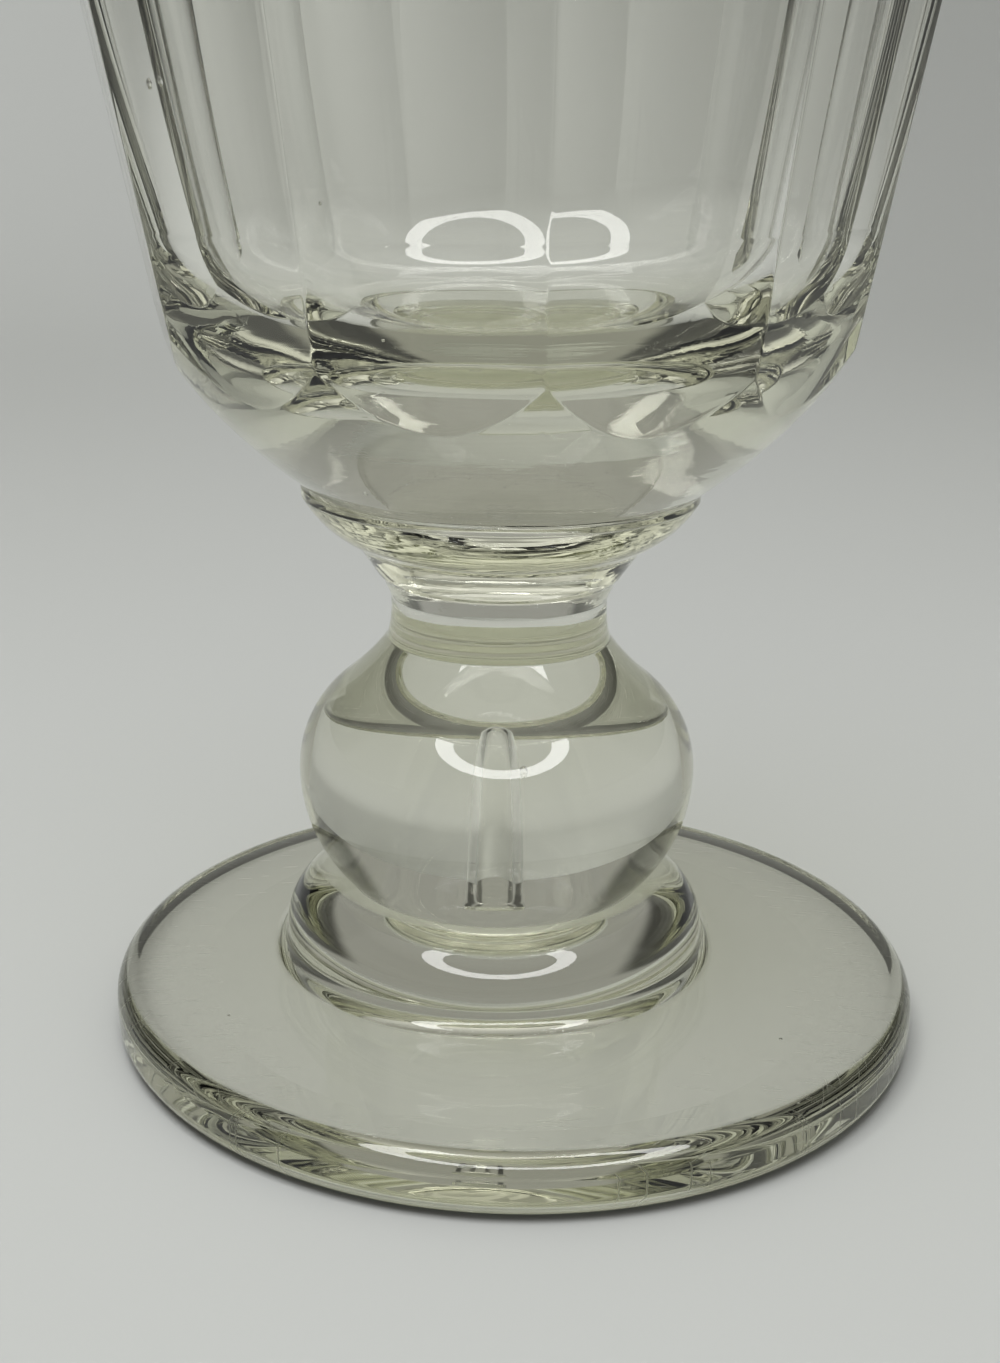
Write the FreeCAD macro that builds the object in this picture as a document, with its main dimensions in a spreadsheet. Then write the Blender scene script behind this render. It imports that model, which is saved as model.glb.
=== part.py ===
"""A heavy stemmed rummer in one piece of clear glass.

Millimetres, +Z up. The origin is on the stem's axis, on the surface that the foot
rests on. The glass is hand-finished: its foot stands a little off the stem's axis
towards +X, its bowl leans a little towards -X, and the panels are cut about an axis of
their own, a little beside the one that the bowl was blown about.
"""
import FreeCAD, Part
import math
import os

import Sketcher

# Driving dimensions, in millimetres, degrees or pieces.
DRIVING_SIZES = {
    # Foot
    "foot_radius": 40.0,
    "foot_shift": 2.1,
    "foot_edge": 6.0,
    "foot_round": 2.2,
    "foot_rise": 3.2,
    "foot_land": 9.0,
    "foot_hollow": 1.2,
    # Domed ring that the stem rises from
    "ring_radius": 20.9,
    "ring_wall": 3.3,
    "ring_skirt": 2.0,
    "dome_rise": 5.5,
    # Ball knop
    "knop_foot_radius": 14.8,
    "knop_radius": 19.46,
    "knop_lower_rise": 11.0,
    "knop_upper_rise": 13.3,
    "shoulder_radius": 15.4,
    "shoulder_rise": 8.5,
    "shoulder_sweep": 25.9,
    # Waisted neck
    "neck_foot_flare": 0.35,
    "neck_radius": 10.45,
    "neck_rise": 4.2,
    "neck_sweep": 11.1,
    # Two ledges and the swelling collar under the bowl
    "ledge_step": 0.45,
    "low_ledge_flare": 0.8,
    "low_ledge_rise": 1.8,
    "high_ledge_flare": 1.8,
    "high_ledge_rise": 2.6,
    "collar_flare": 4.9,
    "collar_rise": 4.5,
    "collar_sweep": 11.0,
    "collar_lip": 0.8,
    # Bowl, round as it was blown
    "bowl_shift": 0.9,
    "bowl_front": 0.6,
    "bowl_lean": 1.1,
    "bowl_height": 76.1,
    "bowl_inset": 0.75,
    "underside_sweep": 50.0,
    "turn_height": 9.1,
    "turn_width": 5.5,
    "turn_sweep": 34.0,
    "belly_radius": 33.7,
    "belly_height": 18.6,
    "band_radius": 40.9,
    "band_width": 17.6,
    # Broad flat panels cut round the bowl
    "panel_count": 11,
    "panel_shift": 0.5,
    "panel_depth": 2.7,
    "panel_bend_drop": 3.5,
    "panel_foot_height": 4.1,
    "panel_foot_width": 5.97,
    "panel_sweep": 20.1,
    "panel_run_out": 1.13,
    "panel_end_gap": 0.6,
    # Inside of the bowl
    "base_thickness": 11.6,
    "floor_dish": 1.3,
    "corner_width": 11.4,
    "corner_rise": 8.5,
    "corner_sweep": 12.4,
    "corner_wall": 5.0,
    "lower_wall_rise": 17.0,
    "lower_wall_flare": 4.1,
    "rim_wall": 2.6,
    "rim_round": 1.1,
    # Air tear in the knop
    "tear_lift": 2.5,
    "tear_radius": 1.7,
    "tear_belly_rise": 1.2,
    "tear_tip_radius": 1.15,
    "tear_taper": 5.0,
    "tear_tip_rise": 2.4,
}

# How far a cutting or joining outline runs past the glass that it meets.
CUT_CLEARANCE = 5.0
PANEL_REACH = 20.0
BOWL_SINK = 2.5
SAME_LENGTH = 0.02


class Size:
    """A length or angle: its value now, and the expression that keeps it current."""

    def __init__(self, value, text):
        self.value = value
        self.text = text

    def __add__(self, other):
        other = as_size(other)
        return Size(self.value + other.value, f"({self.text} + {other.text})")

    def __sub__(self, other):
        other = as_size(other)
        return Size(self.value - other.value, f"({self.text} - {other.text})")


def as_size(number):
    """Return a plain number as a Size that never changes."""
    if isinstance(number, Size):
        return number
    return Size(float(number), f"({float(number)})")


class Sizes:
    """The driving dimensions by name, each as a Size tied to its cell."""

    def __init__(self, sheet_name, values):
        for name, value in values.items():
            setattr(self, name, Size(float(value), f"{sheet_name}.{name}"))


class Corner:
    """One corner of an outline, and the edge that leads from it to the next corner.

    The edge is straight unless sweep gives the radius of an arc, or level gives the
    height of an arc's centre. side is 1 where the outline turns left along the arc,
    and -1 where it turns right.
    """

    def __init__(self, x, y, sweep=None, level=None, side=1):
        self.x = as_size(x)
        self.y = as_size(y)
        self.sweep = sweep
        self.level = level
        self.side = side


def fill_sheet(doc, values):
    """Write the driving dimensions into the document's sheet."""
    sheet = doc.addObject("Spreadsheet::Sheet", "Sizes")
    for row, (name, value) in enumerate(values.items(), start=1):
        sheet.set(f"A{row}", name)
        sheet.set(f"B{row}", str(value))
        sheet.setAlias(f"B{row}", name)
    doc.recompute()
    return sheet


def origin_plane(body, role):
    """Return the body's own origin plane with the given role."""
    return next(item for item in body.Origin.OriginFeatures if item.Role == role)


def arc_centre(start, end):
    """Return where the centre of the arc from one corner to the next lies."""
    a = FreeCAD.Vector(start.x.value, start.y.value, 0)
    b = FreeCAD.Vector(end.x.value, end.y.value, 0)
    if start.level is not None:
        height = start.level.value
        spread = b.x**2 - a.x**2 + (b.y - height) ** 2 - (a.y - height) ** 2
        return FreeCAD.Vector(spread / (2 * (b.x - a.x)), height, 0)
    chord = b - a
    across = FreeCAD.Vector(-chord.y, chord.x, 0).normalize() * start.side
    depth = math.sqrt(start.sweep.value**2 - (chord.Length / 2) ** 2)
    return (a + b) / 2 + across * depth


def add_edge(sketch, start, end):
    """Add the edge between two corners; return its index and its two end numbers."""
    a = FreeCAD.Vector(start.x.value, start.y.value, 0)
    b = FreeCAD.Vector(end.x.value, end.y.value, 0)
    if start.sweep is None and start.level is None:
        return sketch.addGeometry(Part.LineSegment(a, b), False), 1, 2
    centre = arc_centre(start, end)
    circle = Part.Circle(centre, FreeCAD.Vector(0, 0, 1), (a - centre).Length)
    first, last = (a, b) if start.side > 0 else (b, a)
    arc = Part.ArcOfCircle(circle, circle.parameter(first), circle.parameter(last))
    index = sketch.addGeometry(arc, False)
    return (index, 1, 2) if start.side > 0 else (index, 2, 1)


def tie(sketch, kind, edge, point, size):
    """Hold a coordinate or a radius of an edge at a driving size."""
    if kind == "Radius":
        index = sketch.addConstraint(Sketcher.Constraint(kind, edge, abs(size.value)))
    else:
        index = sketch.addConstraint(Sketcher.Constraint(kind, -1, 1, edge, point, size.value))
    sketch.setExpression(f"Constraints[{index}]", size.text)


def place_corner(sketch, edge, point, corner):
    """Hold one corner at its distance from the axis and its height."""
    if corner.x.value == 0:
        sketch.addConstraint(Sketcher.Constraint("PointOnObject", edge, point, -2))
    else:
        tie(sketch, "DistanceX", edge, point, corner.x)
    if corner.y.value == 0:
        sketch.addConstraint(Sketcher.Constraint("PointOnObject", edge, point, -1))
    else:
        tie(sketch, "DistanceY", edge, point, corner.y)


def draw_outline(sketch, corners):
    """Draw a closed outline, fully held by the driving sizes."""
    edges = []
    for number, corner in enumerate(corners):
        following = corners[(number + 1) % len(corners)]
        edges.append(add_edge(sketch, corner, following))
    for number, corner in enumerate(corners):
        index, first, last = edges[number]
        next_index, next_first, _ = edges[(number + 1) % len(edges)]
        sketch.addConstraint(Sketcher.Constraint("Coincident", index, last, next_index, next_first))
        place_corner(sketch, index, first, corner)
        if corner.sweep is not None:
            tie(sketch, "Radius", index, 0, corner.sweep)
        if corner.level is not None:
            tie(sketch, "DistanceY", index, 3, corner.level)


def upright_sketch(body, name, corners):
    """Return a sketch in the upright plane through the stem's axis."""
    sketch = body.newObject("Sketcher::SketchObject", name)
    sketch.AttachmentSupport = [(origin_plane(body, "XZ_Plane"), "")]
    sketch.MapMode = "FlatFace"
    draw_outline(sketch, corners)
    return sketch


def circles_of(feature, size):
    """Name the feature's circles of one radius, from the lowest to the highest."""
    found = []
    for number, edge in enumerate(feature.Shape.Edges, start=1):
        if edge.Degenerated or not isinstance(edge.Curve, Part.Circle):
            continue
        if abs(edge.Curve.Radius - size.value) < SAME_LENGTH:
            found.append((edge.Curve.Center.z, f"Edge{number}"))
    return [name for _, name in sorted(found)]


def ring_foot_edge(feature, radius, wall_top):
    """Name the edge where the upright side of the domed ring meets the foot."""
    found = []
    for number, edge in enumerate(feature.Shape.Edges, start=1):
        box = edge.BoundBox
        on_side = abs(box.XMax - radius.value) < SAME_LENGTH
        if on_side and edge.isClosed() and box.ZMax < wall_top.value - SAME_LENGTH:
            found.append(f"Edge{number}")
    return found


def round_edges(body, name, base, edge_names, radius):
    """Round the named edges of the base feature."""
    fillet = body.newObject("PartDesign::Fillet", name)
    fillet.Base = (base, edge_names)
    fillet.setExpression("Radius", radius.text)
    body.Document.recompute()
    return fillet


def turn(body, kind, name, sketch):
    """Turn an outline right round its own upright axis, to add or to remove glass."""
    feature = body.newObject(f"PartDesign::{kind}", name)
    feature.Profile = sketch
    feature.ReferenceAxis = (sketch, ["V_Axis"])
    feature.Angle = 360.0
    body.Document.recompute()
    return feature


class Levels:
    """Heights and radii that follow from the driving sizes, from the foot upwards."""

    def __init__(self, d):
        self.ring_wall_top = d.foot_edge + d.ring_wall
        self.ring_top = self.ring_wall_top + d.dome_rise
        self.knop_middle = self.ring_top + d.knop_lower_rise
        self.knop_top = self.knop_middle + d.knop_upper_rise
        self.neck_top = self.knop_top + d.neck_rise
        self.low_ledge_top = self.neck_top + d.low_ledge_rise
        self.high_ledge_foot = self.low_ledge_top + d.ledge_step
        self.high_ledge_top = self.high_ledge_foot + d.high_ledge_rise
        self.collar_foot = self.high_ledge_top + d.ledge_step
        self.collar_edge = self.collar_foot + d.collar_rise
        self.collar_top = self.collar_edge + d.collar_lip
        self.neck_foot_radius = d.neck_radius + d.neck_foot_flare
        self.low_ledge_radius = d.neck_radius + d.low_ledge_flare
        self.high_ledge_foot_radius = self.low_ledge_radius + d.ledge_step
        self.high_ledge_radius = self.high_ledge_foot_radius + d.high_ledge_flare
        self.collar_foot_radius = self.high_ledge_radius + d.ledge_step
        self.collar_radius = self.collar_foot_radius + d.collar_flare
        self.mouth_radius = d.band_radius - d.rim_wall


def foot_outline(d):
    """The foot: shallow hollow below, rounded edge, top rising gently to the middle."""
    flat_radius = d.foot_radius - d.foot_round
    round_foot = d.foot_edge - d.foot_round
    return [
        Corner(0, d.foot_hollow),
        Corner(d.foot_radius - d.foot_land, 0),
        Corner(flat_radius, 0, level=d.foot_round),
        Corner(d.foot_radius, d.foot_round),
        Corner(d.foot_radius, round_foot, level=round_foot),
        Corner(flat_radius, d.foot_edge),
        Corner(0, d.foot_edge + d.foot_rise),
    ]


def ring_outline(d, levels):
    """The domed ring, from inside the foot up to the crease below the knop."""
    wall_top = levels.ring_wall_top
    return [
        Corner(0, d.foot_edge),
        Corner(d.ring_radius, d.foot_edge),
        Corner(d.ring_radius, wall_top, level=wall_top),
        Corner(d.knop_foot_radius, levels.ring_top),
        Corner(0, levels.ring_top),
    ]


def stem_outline(d, levels):
    """Ball knop, waisted neck, two ledges and the swelling collar under the bowl."""
    middle = levels.knop_middle
    return [
        Corner(0, levels.ring_wall_top),
        Corner(d.knop_foot_radius, levels.ring_wall_top),
        Corner(d.knop_foot_radius, levels.ring_top, level=middle),
        Corner(d.knop_radius, middle, level=middle),
        Corner(d.shoulder_radius, middle + d.shoulder_rise, sweep=d.shoulder_sweep, side=-1),
        Corner(levels.neck_foot_radius, levels.knop_top, sweep=d.neck_sweep, side=-1),
        Corner(d.neck_radius, levels.neck_top),
        Corner(levels.low_ledge_radius, levels.low_ledge_top),
        Corner(levels.high_ledge_foot_radius, levels.high_ledge_foot),
        Corner(levels.high_ledge_radius, levels.high_ledge_top),
        Corner(levels.collar_foot_radius, levels.collar_foot, sweep=d.collar_sweep),
        Corner(levels.collar_radius, levels.collar_edge),
        Corner(levels.collar_radius, levels.collar_top),
        Corner(0, levels.collar_top),
    ]


def bowl_outline(d, levels):
    """The round blank of the bowl, measured up from the top of the collar."""
    return [
        Corner(0, -BOWL_SINK),
        Corner(d.neck_radius, -BOWL_SINK),
        Corner(levels.collar_radius - d.bowl_inset, 0, sweep=d.underside_sweep),
        Corner(d.belly_radius - d.turn_width, d.turn_height, sweep=d.turn_sweep),
        Corner(d.belly_radius, d.belly_height),
        Corner(d.band_radius, d.bowl_height - d.band_width),
        Corner(d.band_radius, d.bowl_height),
        Corner(0, d.bowl_height),
    ]


def panel_outline(d):
    """The glass ground off to leave one flat panel, arched at its foot and its top."""
    bend_radius = d.belly_radius - d.panel_depth
    bend_height = d.belly_height - d.panel_bend_drop
    foot_radius = bend_radius - d.panel_foot_width
    end_height = d.bowl_height - d.panel_end_gap
    outside = d.band_radius + PANEL_REACH
    return [
        Corner(foot_radius, d.panel_foot_height),
        Corner(outside, d.panel_foot_height),
        Corner(outside, end_height),
        Corner(d.band_radius + d.panel_run_out, end_height),
        Corner(bend_radius, bend_height, sweep=d.panel_sweep, side=-1),
    ]


def bore_outline(d, levels):
    """The inside of the bowl: dished floor, round corner and wall of two flares."""
    corner_radius = d.belly_radius - d.corner_wall
    floor_edge = d.base_thickness + d.floor_dish
    corner_top = floor_edge + d.corner_rise
    above_rim = d.bowl_height + CUT_CLEARANCE
    return [
        Corner(0, d.base_thickness),
        Corner(corner_radius - d.corner_width, floor_edge, sweep=d.corner_sweep),
        Corner(corner_radius, corner_top),
        Corner(corner_radius + d.lower_wall_flare, corner_top + d.lower_wall_rise),
        Corner(levels.mouth_radius, d.bowl_height),
        Corner(levels.mouth_radius, above_rim),
        Corner(0, above_rim),
    ]


def tear_outline(d, levels):
    """The air tear: a rounded belly below, drawn up into a narrow tip."""
    base = levels.ring_top + d.tear_lift
    belly = base + d.tear_belly_rise
    shoulder = belly + d.tear_taper
    tip = shoulder + d.tear_tip_rise
    return [
        Corner(0, base, level=belly),
        Corner(d.tear_radius, belly),
        Corner(d.tear_tip_radius, shoulder),
        Corner(d.tear_tip_radius, tip),
        Corner(0, tip),
    ]


def seat_on_collar(sketch, shift, d, levels):
    """Move a bowl sketch up to the collar, leaning, with its axis shifted along X."""
    sketch.setExpression(".AttachmentOffset.Base.x", shift.text)
    sketch.setExpression(".AttachmentOffset.Base.y", levels.collar_top.text)
    sketch.setExpression(".AttachmentOffset.Rotation.Angle", d.bowl_lean.text)


def bring_forward(sketch, d):
    """Move a sketch of the blown bowl out of its plane, towards -Y."""
    sketch.setExpression(".AttachmentOffset.Base.z", d.bowl_front.text)


def add_foot_and_stem(body, d, levels):
    """Build the foot with its domed ring, then the stem up to the collar."""
    foot_sketch = upright_sketch(body, "FootOutline", foot_outline(d))
    foot_sketch.setExpression(".AttachmentOffset.Base.x", d.foot_shift.text)
    turn(body, "Revolution", "Foot", foot_sketch)

    ring_sketch = upright_sketch(body, "RingOutline", ring_outline(d, levels))
    ring = turn(body, "Revolution", "Ring", ring_sketch)
    edge_names = ring_foot_edge(ring, d.ring_radius, levels.ring_wall_top)
    round_edges(body, "RingSkirt", ring, edge_names, d.ring_skirt)

    stem_sketch = upright_sketch(body, "StemOutline", stem_outline(d, levels))
    turn(body, "Revolution", "Stem", stem_sketch)


def add_bowl(body, d, levels):
    """Build the bowl: round blank, flat panels, hollow inside and rounded rim."""
    blank_sketch = upright_sketch(body, "BowlOutline", bowl_outline(d, levels))
    seat_on_collar(blank_sketch, d.bowl_shift, d, levels)
    bring_forward(blank_sketch, d)
    blank = turn(body, "Revolution", "BowlBlank", blank_sketch)

    panel_sketch = upright_sketch(body, "PanelOutline", panel_outline(d))
    seat_on_collar(panel_sketch, d.panel_shift, d, levels)
    panel = body.newObject("PartDesign::Pocket", "Panel")
    panel.Profile = panel_sketch
    panel.SideType = "Symmetric"
    panel.Type = "ThroughAll"
    panels = body.newObject("PartDesign::PolarPattern", "Panels")
    panels.Originals = [panel]
    panels.Axis = (panel_sketch, ["V_Axis"])
    panels.Angle = 360.0
    panels.setExpression("Occurrences", d.panel_count.text)
    body.Tip = panels
    body.Document.recompute()
    check_less_glass(blank, panels)

    bore_sketch = upright_sketch(body, "BoreOutline", bore_outline(d, levels))
    seat_on_collar(bore_sketch, d.bowl_shift, d, levels)
    bring_forward(bore_sketch, d)
    bore = turn(body, "Groove", "Bore", bore_sketch)
    check_less_glass(panels, bore)
    inner_edge = circles_of(bore, levels.mouth_radius)[-1]
    outer_edge = circles_of(bore, d.band_radius)[-1]
    return round_edges(body, "Rim", bore, [inner_edge, outer_edge], d.rim_round)


def check_less_glass(before, after):
    """Stop if a cut has taken nothing away."""
    if after.Shape.Volume > before.Shape.Volume - 1.0:
        raise ValueError(f"{after.Name} removes no glass from {before.Name}")


def write_part(doc, body):
    """Check every object of the document and write the body's file."""
    for item in doc.Objects:
        if {"Invalid", "Error"} & set(item.State):
            raise ValueError(f"{item.Name} is {item.State}")
        if hasattr(item, "Shape") and item.isDerivedFrom("PartDesign::Feature"):
            if item.Shape.isNull() or not item.Shape.isValid():
                raise ValueError(f"{item.Name} has no sound shape")
    if body.Shape.isNull() or not body.Shape.isValid() or len(body.Shape.Solids) != 1:
        raise ValueError("The glass is not one sound solid")
    body.Shape.exportStep(f"parts/{body.Label}.step")


def main():
    """Build the glass, check it and write it."""
    os.makedirs("parts", exist_ok=True)
    doc = FreeCAD.newDocument("Rummer")
    fill_sheet(doc, DRIVING_SIZES)
    d = Sizes("Sizes", DRIVING_SIZES)
    levels = Levels(d)
    body = doc.addObject("PartDesign::Body", "Rummer")
    body.Label = "rummer"
    add_foot_and_stem(body, d, levels)
    rim = add_bowl(body, d, levels)
    tear = turn(
        body,
        "Groove",
        "AirTear",
        upright_sketch(body, "TearOutline", tear_outline(d, levels)),
    )
    check_less_glass(rim, tear)
    write_part(doc, body)


main()
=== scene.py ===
"""Looks of a heavy, panel-cut rummer in clear glass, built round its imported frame.

Shapes are worked out in millimetres, +Z up, in the part's own frame, and are turned
to metres when a mesh is made.
"""
import logging
import math
from dataclasses import dataclass, field
from enum import Enum

import bpy
import numpy as np
from mathutils import Matrix, Vector


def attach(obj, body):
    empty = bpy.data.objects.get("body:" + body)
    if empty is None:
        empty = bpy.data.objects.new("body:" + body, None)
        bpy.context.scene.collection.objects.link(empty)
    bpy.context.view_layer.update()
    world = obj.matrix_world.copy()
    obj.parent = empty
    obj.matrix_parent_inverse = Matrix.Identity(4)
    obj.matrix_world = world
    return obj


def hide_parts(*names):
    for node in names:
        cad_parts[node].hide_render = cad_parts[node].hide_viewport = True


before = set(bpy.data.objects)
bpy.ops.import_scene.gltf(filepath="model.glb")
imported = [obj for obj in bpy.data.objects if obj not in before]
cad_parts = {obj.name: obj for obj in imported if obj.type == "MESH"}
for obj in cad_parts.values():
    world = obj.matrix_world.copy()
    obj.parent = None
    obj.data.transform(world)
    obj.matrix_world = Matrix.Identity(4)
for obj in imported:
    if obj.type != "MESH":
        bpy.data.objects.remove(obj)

LOG = logging.getLogger("rummer")
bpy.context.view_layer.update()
MM = 0.001
PHOTO_HEIGHT = 1363
SENSOR_MM = 36.0

# Columns of the surface: from one edge between two panels to the next, in degrees.
PANEL_COUNT = 11
PANEL_TURN = 360.0 / PANEL_COUNT
EDGE_TURNS = (0.0, 0.25, 0.6)
INNER_TURNS = 19
# Distance at which a row follows a crease, which leaves the crease just softened.
CREASE_MM = 0.12
# Steps of an outline that is only read from, and of the search for the arches.
READ_STEPS = 300
SEARCH_STEPS = 6000
# Radius at which a cap's point takes over from the rows round it.
CAP_MM = 0.02


class Swing(Enum):
    """Side to which an outline turns along an arc, seen in its direction of travel."""

    LEFT = 1.0
    RIGHT = -1.0


def spread(count: int, length: float, near: float = CREASE_MM) -> np.ndarray:
    """Share a stretch out evenly, with one more point just inside each of its ends.

    Args:
        count: How many even steps the stretch is cut into.
        length: Length of the stretch in millimetres.
        near: Distance of the extra points from the ends, in millimetres.

    Returns:
        Rising shares from 0 to 1.
    """
    near_share = min(near / length, 0.4 / count)
    even = np.linspace(0.0, 1.0, count + 1)
    return np.unique(np.concatenate([even, [near_share, 1.0 - near_share]]))


def straight(start: tuple, end: tuple, count: int) -> np.ndarray:
    """Return points along a straight line: start + share * (end - start).

    Args:
        start: First point, as radius and height.
        end: Last point, as radius and height.
        count: How many even steps the line is cut into.

    Returns:
        Points (radius, height), one a row.
    """
    a, b = np.array(start, float), np.array(end, float)
    shares = spread(count, float(np.linalg.norm(b - a)))
    return a + shares[:, None] * (b - a)


def arc(start: tuple, end: tuple, radius: float, swing: Swing, count: int) -> np.ndarray:
    """Return points along the short arc of a circle through two points.

    The centre lies beside the middle of the chord, at the square root of (radius
    squared less half the chord squared), and the points turn about it evenly.

    Args:
        start: First point, as radius and height.
        end: Last point, as radius and height.
        radius: Radius of the arc.
        swing: Side to which the outline turns.
        count: How many even steps the arc is cut into.

    Returns:
        Points (radius, height), one a row.
    """
    a, b = np.array(start, float), np.array(end, float)
    chord = b - a
    length = float(np.linalg.norm(chord))
    across = np.array([-chord[1], chord[0]]) / length * swing.value
    centre = (a + b) / 2.0 + across * math.sqrt(radius**2 - length**2 / 4.0)
    first = math.atan2(*(a - centre)[::-1])
    last = math.atan2(*(b - centre)[::-1])
    turn = (last - first + math.pi) % (2.0 * math.pi) - math.pi
    angles = first + spread(count, abs(turn) * radius) * turn
    return centre + radius * np.column_stack([np.cos(angles), np.sin(angles)])


def joined(*stretches: np.ndarray) -> np.ndarray:
    """Join stretches of an outline, with each shared point kept once."""
    kept = [stretches[0]] + [stretch[1:] for stretch in stretches[1:]]
    return np.vstack(kept)


def column_angles() -> np.ndarray:
    """Work out the angle of every column of the surface.

    The columns start at the edge between two panels, half a panel from +X, and crowd
    near each such edge, so that it stays a thin, softened line.

    Returns:
        The angles in radians from +X.
    """
    inner = np.linspace(1.6, PANEL_TURN - 1.6, INNER_TURNS)
    near = np.array(EDGE_TURNS)
    one = np.concatenate([near, inner, PANEL_TURN - near[:0:-1]])
    starts = PANEL_TURN * (np.arange(PANEL_COUNT) + 0.5)
    return np.radians((starts[:, None] + one[None, :]).ravel())


def turned(outline: np.ndarray, angles: np.ndarray, shift: float = 0.0) -> np.ndarray:
    """Carry an outline round an upright axis: x = shift + r cos a, y = r sin a, z = height.

    Args:
        outline: Points (radius, height).
        angles: Angles of the columns in radians.
        shift: Place of the axis along X.

    Returns:
        Points in rows and columns, as (row, column, xyz).
    """
    radius, height = outline[:, :1], outline[:, 1:]
    x = shift + radius * np.cos(angles)
    y = radius * np.sin(angles)
    return np.stack([x, y, np.broadcast_to(height, x.shape)], axis=-1)


def soft_least(a: np.ndarray, b: np.ndarray, width: float) -> np.ndarray:
    """Take the lesser of two surfaces, rounded where they are within width of each other.

    With h = (1 + (b - a) / width) / 2 held between 0 and 1, the result is
    h a + (1 - h) b - width h (1 - h).

    Args:
        a: Radii of the first surface.
        b: Radii of the second surface.
        width: Difference under which the two are blended.

    Returns:
        The blended radii.
    """
    share = np.clip(0.5 + 0.5 * (b - a) / width, 0.0, 1.0)
    return share * a + (1.0 - share) * b - width * share * (1.0 - share)


@dataclass
class Foot:
    """Thick round foot, a little off the stem's axis, with a domed ring on it."""

    radius: float = 40.0
    shift: float = 2.1
    edge: float = 6.0
    rounding: float = 2.2
    rise: float = 3.2
    hollow_radius: float = 31.0
    hollow: float = 1.2
    hollow_sweep: float = 400.0
    top_end: tuple = (25.6, 7.15)
    ring_radius: float = 20.9
    ring_wall_top: float = 9.3
    skirt: float = 2.0
    dome_top_radius: float = 14.8
    dome_top: float = 14.8
    dome_sweep: float = 5.53

    def top_height(self, x: np.ndarray, y: np.ndarray) -> np.ndarray:
        """Height of the foot's top: edge + rise (1 - distance from its middle / radius)."""
        away = np.hypot(x - self.shift, y)
        return self.edge + self.rise * (1.0 - away / self.radius)

    def disc_rows(self, angles: np.ndarray) -> np.ndarray:
        """Return the rows of the underside, the rounded edge and the top.

        Args:
            angles: Angles of the columns in radians.

        Returns:
            Points in rows and columns, as (row, column, xyz).
        """
        land = (self.hollow_radius, 0.0)
        flat = self.radius - self.rounding
        low, high = self.rounding, self.edge - self.rounding
        outline = joined(
            arc((CAP_MM, self.hollow), land, self.hollow_sweep, Swing.RIGHT, 9),
            straight(land, (flat, 0.0), 2),
            arc((flat, 0.0), (self.radius, low), self.rounding, Swing.LEFT, 7),
            straight((self.radius, low), (self.radius, high), 1),
            arc((self.radius, high), (flat, self.edge), self.rounding, Swing.LEFT, 7),
            straight((flat, self.edge), self.top_end, 5),
        )
        return turned(outline, angles, self.shift)

    def ring_rows(self, angles: np.ndarray) -> np.ndarray:
        """Return the rows of the ring's skirt and dome.

        The skirt is a quarter of an oval: it leaves the foot's top at the ring's
        radius plus the skirt, and ends upright on the ring's side.

        Args:
            angles: Angles of the columns in radians.

        Returns:
            Points in rows and columns, as (row, column, xyz).
        """
        turn = np.linspace(0.0, math.pi / 2.0, 9)[:, None]
        radius = self.ring_radius + self.skirt * (1.0 - np.sin(turn))
        x, y = radius * np.cos(angles), radius * np.sin(angles)
        outer = self.ring_radius + self.skirt
        foot_top = self.top_height(outer * np.cos(angles), outer * np.sin(angles))
        height = foot_top + (self.ring_wall_top - foot_top) * (1.0 - np.cos(turn))
        skirt = np.stack([x, y, np.broadcast_to(height, x.shape)], axis=-1)
        wall_top = (self.ring_radius, self.ring_wall_top)
        dome_top = (self.dome_top_radius, self.dome_top)
        dome = arc(wall_top, dome_top, self.dome_sweep, Swing.LEFT, 13)
        return np.concatenate([skirt, turned(dome[1:], angles)])


@dataclass
class Stem:
    """Ball knop, waisted neck, two ledges and the swelling collar under the bowl."""

    crease: tuple = (14.8, 14.8)
    equator: tuple = (19.46, 25.8)
    lower_sweep: float = 15.31
    upper_sweep: float = 10.93
    shoulder: tuple = (15.4, 34.3)
    shoulder_sweep: float = 25.9
    neck_foot: tuple = (10.8, 39.1)
    neck_top: tuple = (10.45, 43.3)
    neck_sweep: float = 11.1
    low_ledge: tuple = (11.25, 45.1)
    high_ledge_foot: tuple = (11.7, 45.55)
    high_ledge: tuple = (13.5, 48.15)
    collar_foot: tuple = (13.95, 48.6)
    collar_edge: tuple = (18.85, 53.1)
    collar_top: tuple = (18.85, 53.9)
    collar_sweep: float = 11.0

    def rows(self, angles: np.ndarray) -> np.ndarray:
        """Return the rows from the crease above the ring to the collar's top.

        Args:
            angles: Angles of the columns in radians.

        Returns:
            Points in rows and columns, as (row, column, xyz).
        """
        outline = joined(
            arc(self.crease, self.equator, self.lower_sweep, Swing.LEFT, 20),
            arc(self.equator, self.shoulder, self.upper_sweep, Swing.LEFT, 16),
            arc(self.shoulder, self.neck_foot, self.shoulder_sweep, Swing.RIGHT, 8),
            arc(self.neck_foot, self.neck_top, self.neck_sweep, Swing.RIGHT, 8),
            straight(self.neck_top, self.low_ledge, 1),
            straight(self.low_ledge, self.high_ledge_foot, 1),
            straight(self.high_ledge_foot, self.high_ledge, 1),
            straight(self.high_ledge, self.collar_foot, 1),
            arc(self.collar_foot, self.collar_edge, self.collar_sweep, Swing.LEFT, 10),
            straight(self.collar_edge, self.collar_top, 1),
        )
        return turned(outline[1:], angles)


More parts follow.
